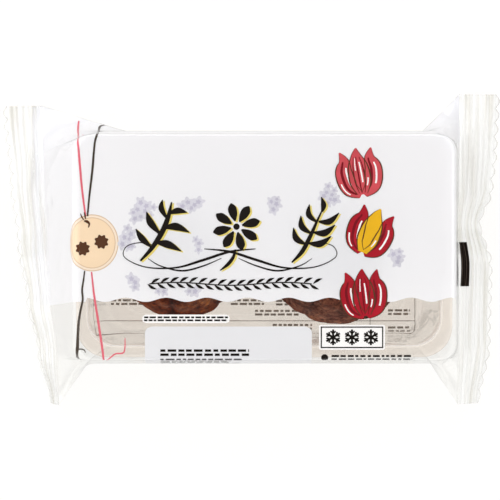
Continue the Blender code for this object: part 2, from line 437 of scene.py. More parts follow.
def pleats(share, s, is_top, side):
    """How far the film stands out in the soft pleats between the tray's end and the crimp."""
    if not 0.0 < share < 1.0:
        return 0.0
    where = Vector((s / PLEAT_WIDTH + 0.5 * share, 1.3 * share, side * 5 + (2.5 if is_top else 0.0)))
    ridge = 0.4 - abs(noise.noise(where)) * 1.3
    fine = noise.noise(where * 2.7) * 0.22
    return (ridge + fine) * sin(pi * share) ** 1.5 * PLEAT_DEPTH


def film_point(along, across):
    """The place in space of a place on the flat film."""
    s, is_top = sheet_and_side(across)
    side = 1 if along > 0 else -1
    leave = leaving(s, is_top, side)
    beyond = abs(along) - leave
    if beyond <= -END_ROUNDING:
        return body_point(along, s, is_top)
    start = body_point(side * leave, s, is_top)
    end = band_point(0.0, s, is_top, side)
    slope = (end - start).length
    if beyond > slope:
        return band_point(beyond - slope, s, is_top, side)
    share = beyond / slope
    point = start.lerp(end, share)
    if beyond < END_ROUNDING:
        turned = (beyond + END_ROUNDING) / (2 * END_ROUNDING)
        before = body_point(side * (leave - END_ROUNDING), s, is_top)
        after = start.lerp(end, END_ROUNDING / slope)
        point = before.lerp(start, turned).lerp(start.lerp(after, turned), turned)
    up = Vector((side * 0.6, 0.0, 0.8 if is_top else -0.8))
    return point + up * pleats(share, s, is_top, side)


def under_film(along, across, depth):
    """A place this far inside the film, where its ink lies."""
    step = copysign(0.1 * MM, -across)
    here = film_point(along, across)
    ahead = film_point(along + 0.1 * MM, across) - here
    beside = (film_point(along, across + step) - here) / step
    return here - ahead.cross(beside).normalized() * depth


def inked(along, across, depth):
    """A point of an ink's grid, this far inside the film. Its UV is its flat place in metres."""
    return under_film(along, across, depth), (along, across)


def film_edges(across, side):
    """How far along the film the tray's end, the crimp's inner edge and the cut lie."""
    s, is_top = sheet_and_side(across)
    leave = leaving(s, is_top, side)
    start = body_point(side * leave, s, is_top)
    crimp = leave + (band_point(0.0, s, is_top, side) - start).length
    notch = abs((s / TOOTH_PITCH) % 1.0 - 0.5) * 2.0
    return leave, crimp, crimp + SEAL_DEPTH - TOOTH_DEPTH * max(0.0, notch * 1.35 - 0.35)


BODY_ROWS = 48
SLOPE_ROWS = 28
BAND_ROWS = 44
FILM_ROWS = BODY_ROWS + 2 * (SLOPE_ROWS + BAND_ROWS)
FILM_COLUMNS = 440
CUT_MARK = 20 * MM  # added to the place at the cut, for the material to find it by


def film_row(row, across):
    """How far along the film one of the rows of the sheet's points lies."""
    half = abs(row - FILM_ROWS / 2)
    side = 1 if row > FILM_ROWS / 2 else -1
    leave, crimp, cut = film_edges(across, side)
    if half <= BODY_ROWS / 2:
        return side * leave * half / (BODY_ROWS / 2)
    half -= BODY_ROWS / 2
    if half <= SLOPE_ROWS:
        return side * blend(leave, crimp, half / SLOPE_ROWS)
    return side * blend(crimp, cut, (half - SLOPE_ROWS) / BAND_ROWS)


def lay_grid(columns, rows, place):
    """Adds a grid to the mesh in edit mode. place(share, share) gives each point, and its UV."""
    bpy.ops.mesh.select_all(action="DESELECT")
    bpy.ops.mesh.primitive_grid_add(x_subdivisions=columns, y_subdivisions=rows, size=1)
    mesh = bmesh.from_edit_mesh(bpy.context.edit_object.data)
    flat = mesh.loops.layers.uv.verify()
    for vert in mesh.verts:
        if vert.select:
            vert.co, uv = place(vert.co.x + 0.5, vert.co.y + 0.5)
            for loop in vert.link_loops:
                loop[flat].uv = uv
    bmesh.update_edit_mesh(bpy.context.edit_object.data)


def film_place(a, b):
    """A point of the whole film's grid. Its UV is how far into the seal it lies, and its place across."""
    across = (b - 0.5) * 2 * HALF_GIRTH
    row = round(a * FILM_ROWS)
    along = film_row(row, across)
    into_seal = abs(along) - film_edges(across, 1 if along > 0 else -1)[1]
    if row in (0, FILM_ROWS):
        into_seal += CUT_MARK
    return film_point(along, across), (into_seal, across)


def crimped_film():
    """Clear film, clouded along the seals where hot jaws pressed two webs into one, with streaks of painted
    highlight and shade.
    """
    material = new_material("clear polypropylene film")
    flat = add_node(material, "SeparateXYZ", _0=add_node(material, "TexCoord").outputs["UV"])
    # One painted streak of light and shade is about 2.5 mm wide and runs on for some 50 mm, like the
    # crimp's ribs
    width = add_node(material, "Math", operation="MULTIPLY", _0=flat.outputs["X"], _1=1 / (2.5 * MM))
    length = add_node(material, "Math", operation="MULTIPLY", _0=flat.outputs["Y"], _1=1 / (50 * MM))
    place = add_node(material, "CombineXYZ", _0=width, _1=length)
    streaks_and_rib_glints = add_node(material, "TexNoise", Vector=place, Scale=1.0, Detail=1.0)
    # The seal's clouding runs from cream to white in these streaks: partly real clouding, partly painted
    # highlight and shade
    tone = add_node(material, "ValToRGB", _0=streaks_and_rib_glints)
    stops = tone.color_ramp.elements
    stops[0].position, stops[0].color = 0.37, linear("#dfdcd2")
    stops[1].position, stops[1].color = 0.54, linear("#ffffff")
    # The cut edge, where the light that runs inside the film comes out, shows as a fine grey line
    cut = add_node(material, "MapRange", _0=flat.outputs["X"], _1=16 * MM, _2=SEAL_DEPTH + CUT_MARK)
    milk = add_node(material, "Mix", data_type="RGBA", _0=cut, _6=tone, _7=linear("#a9a497"))
    sealed = add_node(material, "MapRange", _0=flat.outputs["X"], _1=-0.4 * MM, _2=0.8 * MM,
                      _3=0.003, _4=0.34)
    haze = add_node(material, "Math", operation="MULTIPLY_ADD", _0=cut, _1=0.4, _2=sealed)
    return clear_plastic(material, "#fdfdfc", haze, milk.outputs[2], 0.10, 0.4 * MM)


CLEAR_FILM = crimped_film()
film = start_piece("film", CLEAR_FILM)
lay_grid(FILM_ROWS, FILM_COLUMNS, film_place)
bpy.ops.mesh.select_all(action="SELECT")
bpy.ops.mesh.remove_doubles(threshold=0.01 * MM)
finish_piece(film, 50)
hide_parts("pack")

# The white ink. The last and widest layer of the reverse print, laid behind everything else on the
# top and down the back. It ends in waves along the window, at the right seal, and in the left one.
INK_STEP = 0.045 * MM
WHITE_DEPTH = 4 * INK_STEP
WHITE_PAST_CRIMP = 7.9 * MM  # how far into the left seal it runs, in the middle of the top
WHITE_SLANT = 4.6 * MM  # how much less far that is at the back fold, and further at the front
WAVE_FROM = -62.4 * MM
WAVE_EDGE = -18.5 * MM
WAVE_LENGTH = 14.35 * MM
WAVE_LOW_AT = 15.7 * MM
WAVE_HEIGHT = 0.75 * MM
WHITE_BACK = 2 * FOLD - BASE_WIDTH / 2 + 3 * MM
WHITE_ROWS = 300
WHITE_COLUMNS = 210


def gravure_ink(name, colour, through=0.25, mottle=0.0):
    """Printing ink behind glossy film: an even, slightly see-through colour with no gloss of its own."""
    material = new_material(name)
    place = add_node(material, "TexCoord").outputs["Object"]
    cloud = add_node(material, "TexNoise", Vector=place, Scale=160.0, Detail=2.0)
    tone = add_node(material, "MapRange", _0=cloud, _3=1.0 - mottle, _4=1.0 + mottle)
    shade = add_node(material, "HueSaturation", Value=tone, Color=linear(colour))
    front = add_node(material, "BsdfPrincipled", Base_Color=shade, Roughness=0.9, Specular_IOR_Level=0.0)
    back = add_node(material, "BsdfTranslucent", Color=shade)
    ink = add_node(material, "MixShader", _0=through, _1=front, _2=back)
    add_node(material, "OutputMaterial", Surface=ink)
    return material


@contextmanager
def printed(name, ink):
    """Opens a piece of this ink for the shapes in the block, and finishes it after them."""
    piece = start_piece(name, ink)
    yield
    finish_piece(piece)


def white_edge(along):
    """How far across the white ends at the window, at this place along the film."""
    if along < WAVE_FROM:
        return WAVE_EDGE - WAVE_HEIGHT
    return WAVE_EDGE - WAVE_HEIGHT * cos(2 * pi * (along - WAVE_LOW_AT) / WAVE_LENGTH)


def white_place(a, b):
    """Where a point of the white layer goes."""
    across = blend(WAVE_EDGE, WHITE_BACK, b)
    t = sheet_and_side(across)[0] / FOLD
    left = -film_edges(across, -1)[1] - WHITE_PAST_CRIMP + WHITE_SLANT * t
    right = film_edges(across, 1)[1]
    along = blend(left, right, a)
    across = blend(white_edge(along), WHITE_BACK, b)
    return inked(along, across, WHITE_DEPTH)


with printed("white_ink", gravure_ink("opaque white ink", "#fbfbff", through=0.22)):
    lay_grid(WHITE_ROWS, WHITE_COLUMNS, white_place)

# The tag and its two strings. They are printed, not hung: a peach oval in a paler ring, with two
# scalloped rounds for the two cakes inside, and a red and a black string drawn with a loose brush.
TAG_AT = (-60.6, 1.5)
TAG_SIZE = (18.6, 20.0)
TAG_TURN = radians(20)
TAG_ROUND = 4.6  # across one of the scalloped rounds
TAG_ROUND_OUT = 3.5
TAG_ROUND_DOWN = 0.8
# How far inside the film each layer of the print lies: black was printed first
BLACK_DEPTH = INK_STEP
COLOUR_DEPTH = 2 * INK_STEP
UNDER_DEPTH = 3 * INK_STEP


def along_curve(points, share):
    """The values this share of the way along a smooth curve through these points."""
    spans = len(points) - 1
    span = min(int(share * spans), spans - 1)
    t = share * spans - span
    around = (points[max(span - 1, 0)], points[span], points[span + 1], points[min(span + 2, spans)])
    return tuple(
        0.5 * (2 * b + (c - a) * t + (2 * a - 5 * b + 4 * c - d) * t * t + (3 * (b - c) + d - a) * t ** 3)
        for a, b, c, d in zip(*around)
    )


def stroke(points, depth, band=(0.0, 1.0), reach=(0.0, 1.0), shift=(0.0, 0.0), steps=8):
    """Prints a brush stroke through (along, across, width) points in mm, or a band of its width."""
    def place(a, b):
        share = blend(*reach, a)
        u, v, width = along_curve(points, share)
        before = along_curve(points, max(share - 0.01, 0.0))
        after = along_curve(points, min(share + 0.01, 1.0))
        heading = Vector((after[0] - before[0], after[1] - before[1])).normalized()
        offset = (blend(*band, b) - 0.5) * max(width, 0.1)
        u += shift[0] - heading.y * offset
        v += shift[1] + heading.x * offset
        return inked(u * MM, v * MM, depth)
    columns = max(int(steps * (len(points) - 1) * (reach[1] - reach[0])), 2)
    lay_grid(columns, 2, place)


def oval(centre, size, depth, lobes=0, lobe_depth=0.0, turn=0.0, points=20):
    """Prints a filled oval, with lobes round its edge if it has any."""
    def place(a, b):
        x, y = 2 * a - 1, 2 * b - 1
        x, y = x * sqrt(1 - y * y / 2), y * sqrt(1 - x * x / 2)
        spread = 1 + lobe_depth * hypot(x, y) * cos(lobes * atan2(y, x))
        x, y = x * spread * size[0] / 2, y * spread * size[1] / 2
        u = centre[0] + x * cos(turn) - y * sin(turn)
        v = centre[1] + x * sin(turn) + y * cos(turn)
        return inked(u * MM, v * MM, depth)
    lay_grid(points, points, place)


# Gravure ink on the inner side of glossy film: even, with the faint clouding of a large flat area
PEACH_INK = gravure_ink("peach gravure ink", "#ffe5c4", mottle=0.03, through=0.15)
RING_INK = gravure_ink("pale ring gravure ink", "#ffeedb", mottle=0.02, through=0.15)
EDGE_INK = gravure_ink("fawn line gravure ink", "#e3c4a2", mottle=0.05)
BROWN_INK = gravure_ink("brown gravure ink", "#5a3a28", mottle=0.10, through=0.05)
RED_INK = gravure_ink("red string gravure ink", "#e4707f", mottle=0.08, through=0.10)
GREY_INK = gravure_ink("worn black gravure ink", "#4a413a", mottle=0.20, through=0.05)

TAG_LAYERS = (
    # piece, ink, how far inside the tag's edge in mm, and how deep its ink lies in steps
    ("tag_edge", EDGE_INK, 0.0, 3.6), ("tag_ring", RING_INK, 0.3, 3.2),
    ("tag_line", EDGE_INK, 1.05, 2.8), ("tag", PEACH_INK, 1.3, 2.4),
)
# Strokes as (along, across, width) in mm: the knot's two short ends and its hook, then the strings
KNOT = (
    ((-64.7, 11.8, 0.25), (-64.2, 10.6, 0.5), (-63.5, 9.6, 0.35)),
    ((-63.4, 12.3, 0.25), (-63.1, 11.1, 0.55), (-62.9, 9.9, 0.4)),
    ((-63.4, 9.2, 0.5), (-62.4, 9.0, 1.0), (-61.6, 8.2, 0.7), (-61.9, 6.9, 0.35)),
)
RED_STRING = (
    ((-68.0, 55.6, 0.6), (-68.4, 51.0, 0.8), (-68.8, 46.5, 0.8), (-68.8, 41.4, 0.7), (-68.0, 39.7, 0.7),
     (-66.2, 38.7, 0.7), (-65.5, 35.6, 0.7), (-65.0, 29.9, 0.8), (-64.1, 20.1, 0.7), (-62.9, 10.9, 0.6)),
    ((-60.8, -8.7, 0.5), (-59.9, -16.7, 0.7), (-58.8, -23.8, 0.8), (-58.0, -29.1, 0.8),
     (-57.1, -35.0, 0.8), (-56.5, -40.0, 0.7)),
    ((-55.7, -40.3, 0.4), (-52.5, -37.6, 0.5), (-49.4, -36.9, 0.5), (-49.0, -32.0, 0.3)),
)
BLACK_STRING = (
    ((-57.9, 58.2, 0.5), (-59.6, 55.6, 0.8), (-60.1, 51.5, 0.8), (-60.0, 47.6, 0.8), (-58.9, 43.4, 0.8),
     (-58.9, 39.8, 0.8), (-59.7, 36.4, 0.7), (-60.5, 27.1, 0.8), (-61.6, 17.6, 0.7), (-62.2, 10.9, 0.6)),
    ((-63.2, -8.3, 0.5), (-63.6, -11.5, 0.6), (-64.1, -15.0, 0.7), (-63.9, -18.4, 0.7),
     (-64.7, -22.5, 0.8), (-65.3, -26.3, 0.9), (-65.6, -31.2, 1.0), (-65.8, -35.4, 1.2),
     (-66.6, -38.0, 1.5), (-68.6, -39.4, 1.7)),
    ((-66.4, -37.0, 0.3), (-65.2, -35.9, 0.5), (-63.5, -36.1, 0.4), (-62.9, -37.1, 0.3)),
)
for name, ink, inset, layer in TAG_LAYERS:
    with printed(name, ink):
        oval(TAG_AT, [size - 2 * inset for size in TAG_SIZE], layer * INK_STEP, points=36)

with printed("tag_marks", BROWN_INK):
    for side in (-1, 1):
        out = side * TAG_ROUND_OUT
        middle = (TAG_AT[0] + out * cos(TAG_TURN), TAG_AT[1] - TAG_ROUND_DOWN + out * sin(TAG_TURN))
        oval(middle, (TAG_ROUND, TAG_ROUND), BLACK_DEPTH, lobes=8, lobe_depth=0.13, turn=TAG_TURN)
    for points in KNOT:
        stroke(points, BLACK_DEPTH)
for name, ink, strokes in (("red_string", RED_INK, RED_STRING), ("black_string", GREY_INK, BLACK_STRING)):
    with printed(name, ink):
        for points in strokes:
            stroke(points, COLOUR_DEPTH)

# The ornaments. Three motifs in black brush strokes, each with a gold edge low on its right, stand
# across the middle of the front: a leafy sprig, a daisy and an ear of wheat. A fine double scroll
# runs behind their feet, and a narrow laurel below it.
GOLD_SHIFT = (0.62, -0.38)
ORNAMENT_STROKES = (
    # the sprig: its stem, then its leaves from the foot up
    ((-43.6, -4.8, 0.7), (-39.6, -0.4, 1.5), (-36.0, 5.2, 1.9), (-33.8, 10.6, 1.6), (-32.6, 15.8, 0.5)),
    ((-39.9, 0.2, 0.7), (-43.0, 3.0, 2.3), (-45.2, 6.4, 0.3)),
    ((-38.2, 1.6, 0.7), (-34.0, 1.0, 2.7), (-29.2, -1.4, 0.3)),
    ((-36.6, 4.6, 0.7), (-40.0, 8.6, 2.5), (-41.4, 12.4, 0.3)),
    ((-35.2, 6.8, 0.7), (-31.0, 7.2, 2.7), (-26.4, 5.2, 0.3)),
    ((-34.2, 10.0, 0.6), (-36.2, 13.6, 2.0), (-35.8, 16.6, 0.3)),
    ((-33.6, 11.8, 0.6), (-30.4, 12.8, 2.2), (-27.2, 12.2, 0.3)),
    # the daisy's stem
    ((-10.2, -0.8, 0.4), (-10.9, -3.4, 1.1), (-12.8, -6.0, 1.2), (-15.6, -8.2, 0.3)),
    # the ear of wheat: a bowed stalk and three pairs of plump grains under one at its tip
    ((9.6, -5.4, 0.5), (13.2, -1.6, 1.5), (16.0, 3.6, 1.4), (18.6, 9.4, 0.8), (20.6, 13.6, 0.4)),
    ((14.6, 1.0, 0.6), (11.2, 3.0, 2.2), (10.2, 6.8, 0.3)),
    ((15.4, 1.4, 0.6), (19.6, 1.2, 2.4), (23.4, 3.8, 0.3)),
    ((16.4, 4.8, 0.6), (13.2, 7.2, 2.2), (12.8, 11.0, 0.3)),
    ((17.2, 5.2, 0.6), (21.2, 5.0, 2.4), (24.8, 7.8, 0.3)),
    ((18.4, 8.8, 0.6), (15.6, 11.4, 2.0), (15.8, 15.0, 0.3)),
    ((19.0, 9.0, 0.6), (22.8, 9.0, 2.2), (26.2, 12.0, 0.3)),
    ((20.2, 12.4, 0.6), (20.8, 14.8, 1.9), (20.0, 17.6, 0.3)),
)
DAISY_AT = (-9.8, 7.2)
DAISY_HEART = (2.2, 2.2)
DAISY_PETALS = 8
DAISY_TURN = 0.3  # of the angle between two petals
# A petal of the daisy: distance from its middle, width
DAISY_PETAL = ((2.0, 0.5), (4.4, 2.7), (6.8, 2.9), (8.4, 0.5))
DAISY = tuple(
    tuple((DAISY_AT[0] + away * cos(turn), DAISY_AT[1] + away * sin(turn), width)
          for away, width in DAISY_PETAL)
    for turn in (tau * (petal + DAISY_TURN) / DAISY_PETALS for petal in range(DAISY_PETALS))
)
SCROLL_MIDDLE = -12.1
# Half of the double scroll: distance from its middle, place across, width
SCROLL_STROKES = (
    ((-9.0, -0.6, 0.3), (0.0, -1.6, 0.8), (9.6, -4.6, 0.9), (19.0, -7.2, 0.6), (29.6, -7.0, 0.4),
     (37.0, -3.6, 0.3), (36.4, 0.2, 0.3), (31.4, 1.6, 0.3), (26.8, 0.8, 0.2)),
    ((3.0, -3.9, 0.2), (9.4, -6.6, 0.5), (16.8, -8.3, 0.6), (24.4, -6.6, 0.4), (28.8, -4.0, 0.2)),
)
LAUREL_FROM = -40.4
LAUREL_TO = 16.6
LAUREL_ACROSS = -12.9
LAUREL_LEAVES = 17
LAUREL_BOW = 0.5
LAUREL_WAVES = 1.5
LAUREL_STAGGER = 0.6  # how far on, or back, each leaf of a pair stands from its point of the stem
# A leaf of the laurel: along and out from the stem, width
LAUREL_LEAF = ((0.0, 0.1, 0.2), (1.4, 1.2, 1.0), (3.1, 1.9, 0.1))

# Dense black brushed ink, and a thin gold that shows past its edge
BLACK_INK = gravure_ink("black gravure ink", "#1a1512", mottle=0.15, through=0.0)
GOLD_INK = gravure_ink("gold gravure ink", "#ead77a", mottle=0.06, through=0.1)
with printed("ornaments", BLACK_INK):
    for points in ORNAMENT_STROKES + DAISY:
        stroke(points, BLACK_DEPTH)
    oval(DAISY_AT, DAISY_HEART, BLACK_DEPTH, points=8)
with printed("ornament_gold", GOLD_INK):
    for points in ORNAMENT_STROKES + DAISY:
        stroke(points, COLOUR_DEPTH, shift=GOLD_SHIFT)

with printed("scroll", BLACK_INK):
    for side in (-1, 1):
        for half in SCROLL_STROKES:
            stroke([(SCROLL_MIDDLE + side * u, v, width) for u, v, width in half], COLOUR_DEPTH, steps=10)
    stem = []
    for leaf in range(LAUREL_LEAVES + 1):
        u = blend(LAUREL_FROM, LAUREL_TO, leaf / LAUREL_LEAVES)
        v = LAUREL_ACROSS + LAUREL_BOW * sin(tau * LAUREL_WAVES * leaf / LAUREL_LEAVES)
        stem.append((u, v, 0.4))
        for side in (-1, 1):
            foot = u + LAUREL_STAGGER * side
            stroke([(foot + x, v + side * y, width) for x, y, width in LAUREL_LEAF], BLACK_DEPTH, steps=4)
    stroke(stem, BLACK_DEPTH, steps=3)

# The blossoms. Three tulips painted in red washes stand in a column at the right, the middle one
# with a yellow heart, under loose dark outlines and white lights. Pale lavender florets lie between.
BLOSSOM_LENGTH = 17.0
# Petals of a tulip one unit long, from its foot to its tip: place along and across, width
OUTER_PETAL = ((-0.03, -0.48, 0.14), (-0.24, -0.30, 0.34), (-0.31, 0.02, 0.36), (-0.27, 0.26, 0.22),
               (-0.33, 0.46, 0.03))
INNER_PETAL = ((0.0, -0.47, 0.20), (0.0, -0.22, 0.44), (0.0, 0.10, 0.42), (0.0, 0.34, 0.22),
               (0.02, 0.50, 0.03))
# Transparent washes of ink, darker where the brush lingered, so each is mottled
WASH_RED = gravure_ink("rose red watercolour ink", "#d3545c", mottle=0.22, through=0.12)
WASH_DEEP = gravure_ink("deep red watercolour ink", "#b01f2e", mottle=0.25, through=0.10)
WASH_YELLOW = gravure_ink("warm yellow watercolour ink", "#f0bb26", mottle=0.10, through=0.12)
WASH_SHADE = gravure_ink("dark red watercolour ink", "#7c1622", mottle=0.25, through=0.05)
LIGHTS_INK = gravure_ink("white highlight ink", "#fdfbfb", mottle=0.01, through=0.08)
LAVENDER_INK = gravure_ink("pale lavender ink", "#e3e1ea", mottle=0.12, through=0.2)
LAVENDER_DEEP = gravure_ink("deeper lavender ink", "#cdc9d9", mottle=0.12, through=0.2)
# Each blossom: middle, turn from upright in degrees, and the inks of its outer and inner petals
BLOSSOMS = (
    ((33.2, 26.4), 10, WASH_RED, WASH_RED),
    ((37.4, 5.6), -22, WASH_DEEP, WASH_YELLOW),
    ((34.8, -16.2), 6, WASH_DEEP, WASH_DEEP),
)
OUTLINE_BANDS = ((-0.02, 0.045), (0.955, 1.02))


def petal_strokes(blossom, petal, depth, bands=((0.0, 1.0),), reach=(0.0, 1.0)):
    """Prints bands of a blossom's petals: the outer ones stand one on each side, the inner one alone."""
    middle, turn = blossom[:2]
    right, up = cos(radians(turn)), sin(radians(turn))
    for side in (-1, 1) if petal == OUTER_PETAL else (1,):
        points = [
            (middle[0] + BLOSSOM_LENGTH * (side * x * right - y * up),
             middle[1] + BLOSSOM_LENGTH * (side * x * up + y * right), width * BLOSSOM_LENGTH)
            for x, y, width in petal
        ]
        for band in bands:
            stroke(points, depth, band=band, reach=reach)


for number, blossom in enumerate(BLOSSOMS, 1):
    with printed(f"blossom_{number}_outer", blossom[2]):
        petal_strokes(blossom, OUTER_PETAL, UNDER_DEPTH)
    with printed(f"blossom_{number}_inner", blossom[3]):
        petal_strokes(blossom, INNER_PETAL, COLOUR_DEPTH + 0.3 * INK_STEP)
RED_HEARTED = [blossom for blossom in BLOSSOMS if blossom[3] != WASH_YELLOW]
with printed("blossom_shades", WASH_SHADE):
    for blossom in BLOSSOMS:
        petal_strokes(blossom, OUTER_PETAL, COLOUR_DEPTH + 0.6 * INK_STEP, ((0.55, 0.70),), (0.1, 0.75))
    for blossom in RED_HEARTED:
        petal_strokes(blossom, INNER_PETAL, COLOUR_DEPTH,
                      ((0.24, 0.30), (0.50, 0.57), (0.72, 0.77)), (0.05, 0.72))
with printed("blossom_lights", LIGHTS_INK):
    for blossom in BLOSSOMS:
        petal_strokes(blossom, OUTER_PETAL, COLOUR_DEPTH, ((0.30, 0.40),), (0.28, 0.62))
        petal_strokes(blossom, OUTER_PETAL, COLOUR_DEPTH, ((0.78, 0.86),), (0.18, 0.36))
    for blossom in RED_HEARTED:
        petal_strokes(blossom, INNER_PETAL, BLACK_DEPTH + 0.5 * INK_STEP, ((0.36, 0.43),), (0.25, 0.60))
        petal_strokes(blossom, INNER_PETAL, BLACK_DEPTH + 0.5 * INK_STEP, ((0.62, 0.67),), (0.45, 0.70))
with printed("blossom_outlines", BROWN_INK):
    for blossom in BLOSSOMS:
        for petal in (OUTER_PETAL, INNER_PETAL):
            petal_strokes(blossom, petal, BLACK_DEPTH, OUTLINE_BANDS, (0.02, 0.97))

FLORET_GROUPS = (
    # middle, spread, number of florets
    ((-43.0, 12.6), (4.4, 3.6), 9), ((-48.2, 2.6), (2.4, 4.2), 7), ((-25.6, 15.0), (3.6, 1.8), 5),
    ((-23.6, 1.2), (1.4, 2.4), 3), ((3.4, 15.0), (2.4, 2.2), 4), ((23.0, 18.6), (3.0, 3.2), 8),
    ((46.4, -3.4), (2.4, 2.2), 4), ((-46.0, -12.2), (1.4, 2.2), 3), ((-36.2, -15.6), (1.8, 0.2), 2),
    ((-25.2, -15.6), (1.8, 0.2), 2),
)
FLORET_SIZE = (2.6, 4.2)
GOLDEN_ANGLE = 2.4  # between one floret of a group and the next, so that few lie on each other
shake = random.Random(5)
florets = []
for (group_u, group_v), (spread_u, spread_v), count in FLORET_GROUPS:
    for number in range(count):
        away = sqrt((number + 0.5) / count)
        around = number * GOLDEN_ANGLE + shake.uniform(-0.3, 0.3)
        middle = (group_u + away * spread_u * cos(around), group_v + away * spread_v * sin(around))
        florets.append((middle, shake.uniform(*FLORET_SIZE), shake.uniform(0, tau), 0.02 * number))
for name, ink, share, layer in (
        ("lavender_florets", LAVENDER_INK, 1.0, 3.2), ("lavender_hearts", LAVENDER_DEEP, 0.42, 2.9)):
    with printed(name, ink):
        for middle, size, turn, step in florets:
            oval(middle, (size * share, size * share * 0.85), (layer + step) * INK_STEP,
                 lobes=5, lobe_depth=0.24, turn=turn, points=10)

# The labels on the front edge. On the clear window, words stand as plain bars: a caption on a white
# strip, a date panel that runs over the edge and down the front, and a framed storage label of
# three snowflakes, with a dot and a line of bars below it.
PANEL_FROM, PANEL_TO = -42.0, 16.7
PANEL_TOP, PANEL_FOOT = -27.9, -57.0
PANEL_CORNER = 2.4
CAPTION_FROM, CAPTION_TO = -42.3, -12.8
CAPTION_ACROSS = -25.2
STRIP_MARGIN, STRIP_HALF, STRIP_CORNER = 0.6, 1.5, 1.3
BOX_FROM, BOX_TO = 19.2, 42.4
BOX_TOP, BOX_FOOT = -27.3, -36.1
BOX_MARGIN, BOX_LINE, BOX_CORNER = 0.6, 0.42, 0.5
FLAKE_SPACING = 0.86 * (BOX_TO - BOX_FROM) / 3
FLAKE_ARM, FLAKE_BARB, FLAKE_FORK = 2.75, 1.2, 0.9
DATE_FROM = -36.6
# Where each line of words on the date panel ends, and its place across
DATE_LINES = ((-5.4, -37.1), (-8.0, -40.4), (-12.0, -43.7), (-8.0, -47.0))
ADVICE_DOT = (21.2, -38.9)
ADVICE_FROM, ADVICE_TO = 23.6, 52.0


def panel(left, right, foot, top, depth, corner=0.0, corners_below=False, columns=24, rows=12):
    """Prints a rectangle, with its upper corners rounded, or all four."""
    def place(a, b):
        v = blend(foot, top, b)
        inset = 0.0
        if corner and (v > top - corner or (corners_below and v < foot + corner)):
            inset = corner_inset(v - (foot + top) / 2, top - foot, corner)
        return inked(blend(left + inset, right - inset, a) * MM, v * MM, depth)
    lay_grid(columns, rows, place)


def words(left, right, across, height, seed):
    """Prints plain bars where a line of words stands: two rows of short ones, with gaps."""
    shake = random.Random(seed)
    half = 0.17 * height
    for row in (across - 0.29 * height, across + 0.29 * height):
        here = left
        while here < right:
            end = min(here + height * shake.uniform(0.45, 1.3), right)
            panel(here, end, row - half, row + half, COLOUR_DEPTH, columns=3, rows=2)
            here = end + height * shake.uniform(0.2, 0.35)


def ray(start, turn, length, width):
    """Prints a short straight line, a little narrower at its tip. Gives the place where it forks."""
    heading = Vector((cos(turn), sin(turn))) * length
    half, tip = start + heading / 2, start + heading
    stroke([(*start, width), (*half, width), (*tip, width - 0.05)], COLOUR_DEPTH, steps=2)
    return start + heading * 0.52


LABEL_INK = gravure_ink("label white ink", "#eaeaee", mottle=0.015, through=0.10)
with printed("date_panel", LABEL_INK):
    panel(PANEL_FROM, PANEL_TO, PANEL_FOOT, PANEL_TOP, UNDER_DEPTH, PANEL_CORNER, columns=60, rows=56)
with printed("storage_label", LIGHTS_INK):
    panel(BOX_FROM, BOX_TO, BOX_FOOT, BOX_TOP, UNDER_DEPTH, BOX_CORNER, True, columns=30, rows=24)
with printed("caption_strip", LIGHTS_INK):
    panel(CAPTION_FROM - STRIP_MARGIN, CAPTION_TO + STRIP_MARGIN, CAPTION_ACROSS - STRIP_HALF,
          CAPTION_ACROSS + STRIP_HALF, UNDER_DEPTH, STRIP_CORNER, True, columns=40, rows=10)

with printed("label_marks", BLACK_INK):
    words(CAPTION_FROM, CAPTION_TO, CAPTION_ACROSS, 1.8, 4)
    for line, (right, across) in enumerate(DATE_LINES):
        words(DATE_FROM, right, across, 2.5, line)
    left, right, foot, top = (
        BOX_FROM + BOX_MARGIN, BOX_TO - BOX_MARGIN, BOX_FOOT + BOX_MARGIN, BOX_TOP - BOX_MARGIN)
    panel(left, right, top - BOX_LINE, top, COLOUR_DEPTH, rows=2)
    panel(left, right, foot, foot + BOX_LINE, COLOUR_DEPTH, rows=2)
    panel(left, left + BOX_LINE, foot, top, COLOUR_DEPTH, columns=2)
    panel(right - BOX_LINE, right, foot, top, COLOUR_DEPTH, columns=2)
    for flake in (-1, 0, 1):
        middle = Vector(((BOX_FROM + BOX_TO) / 2 + flake * FLAKE_SPACING, (BOX_FOOT + BOX_TOP) / 2))
        for arm in range(6):
            turn = radians(60 * arm + 90)
            fork = ray(middle, turn, FLAKE_ARM, 0.75)
            ray(fork, turn - FLAKE_FORK, FLAKE_BARB, 0.6)
            ray(fork, turn + FLAKE_FORK, FLAKE_BARB, 0.6)
    oval(ADVICE_DOT, (2.5, 2.5), COLOUR_DEPTH)
    words(ADVICE_FROM, ADVICE_TO, ADVICE_DOT[1], 2.1, 17)

# The eye mark. The wrapping machine reads this black block to know where to cut. It is printed on
# the film's outer face, over the crimp's clouding, and the crimp breaks its ink into fine streaks.
EYE_FROM, EYE_TO = 88.9, 92.8
EYE_FOOT, EYE_TOP = -13.7, 2.8
EYE_STREAKS = 4
with printed("eye_mark", BLACK_INK):
    panel(EYE_FROM, EYE_TO, EYE_FOOT, EYE_TOP, -INK_STEP, columns=24, rows=30)
with printed("eye_streaks", GREY_INK):
    for streak in range(EYE_STREAKS):
        left = blend(EYE_FROM, EYE_TO, (streak + 0.4) / EYE_STREAKS)
        right = blend(EYE_FROM, EYE_TO, (streak + 0.6) / EYE_STREAKS)
        panel(left, right, EYE_FOOT, EYE_TOP, -2 * INK_STEP, columns=6, rows=30)

# The underside. Ruled lines and rows of bars stand for the table that is printed on the base in
# grey, and the fin seam, where the tube's two edges are sealed face to face, lies flat beside it.
TABLE_LEFT, TABLE_COLUMN, TABLE_RIGHT = -64.7, 39.2, 55.7
TABLE_FOOT, TABLE_TOP = -30.9, -4.5
TABLE_RULES = (-30.9, -26.1, -16.2, -11.4)
